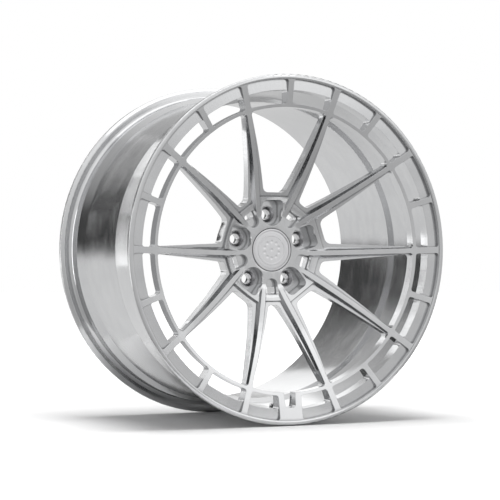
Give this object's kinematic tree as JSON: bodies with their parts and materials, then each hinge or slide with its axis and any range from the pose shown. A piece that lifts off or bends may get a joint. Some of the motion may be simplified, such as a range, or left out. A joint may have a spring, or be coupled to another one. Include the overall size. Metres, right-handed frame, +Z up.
{
  "type": "forged racing wheel rim",
  "caption": "One-piece forged racing wheel with slender split spokes, a slotted outer ring, a concave face and a deep barrel for a tubeless tyre.",
  "frame": {"origin": "centre of the wheel: on the axle line, midway between the outer faces of the two flanges", "axes": "+Y along the axle from the street face to the brake side, +Z up with the valve at the bottom, +X to the right seen from the street side"},
  "size_m": [0.543, 0.304, 0.543],
  "materials": {
    "forging": "machined raw aluminium, fine brushed",
    "cap_metal": "satin",
    "badge": "satin",
    "valve_metal": "satin anodised",
    "steel": "turned",
    "brass": "turned",
    "rubber": "matte",
    "ptfe": "matte",
    "foam": "matte"
  },
  "bodies": {
    "wheel": {"wheel_forging": "forging", "seat_insert_1": "steel", "seat_insert_2": "steel", "seat_insert_3": "steel", "seat_insert_4": "steel", "seat_insert_5": "steel", "valve_stem": "valve_metal", "valve_grommet": "rubber", "valve_outer_seal": "rubber", "valve_washer": "steel", "valve_nut": "valve_metal", "valve_core_housing": "brass", "valve_core_seal": "ptfe", "valve_core_spring": "steel"},
    "centre_cap": {"cap_body": "cap_metal", "cap_oring": "rubber", "cap_adhesive_pad": "foam", "cap_badge": "badge"},
    "core_pin": {"valve_core_pin": "brass", "valve_core_poppet": "rubber"},
    "valve_cap_lift": {"valve_cap_gasket": "rubber"},
    "valve_cap": {"valve_cap": "valve_metal"}
  },
  "joints": [
    {"name": "centre_cap_pull", "type": "slide", "parent": "wheel", "child": "centre_cap", "axis": [0, -1, 0], "range_m": [0, 0.03]},
    {"name": "valve_core_press", "type": "slide", "parent": "wheel", "child": "core_pin", "axis": [0, 0.309, -0.9511], "range_m": [0, 0.001], "stiffness_N_per_m": 1500, "springref_m": -0.001, "deforming": ["valve_core_spring"]},
    {"name": "valve_cap_rise", "type": "slide", "parent": "wheel", "child": "valve_cap_lift", "axis": [0, -0.309, 0.9511], "range_m": [0, 0.0039]},
    {"name": "valve_cap_unscrew", "type": "hinge", "parent": "valve_cap_lift", "child": "valve_cap", "pos_m": [0, -0.10025, -0.23133], "axis": [0, -0.309, 0.9511], "range_deg": [0, 1800]}
  ],
  "couplings": [
    {"joint": "valve_cap_unscrew", "follows": "valve_cap_rise", "rad_per_m": 7913}
  ]
}
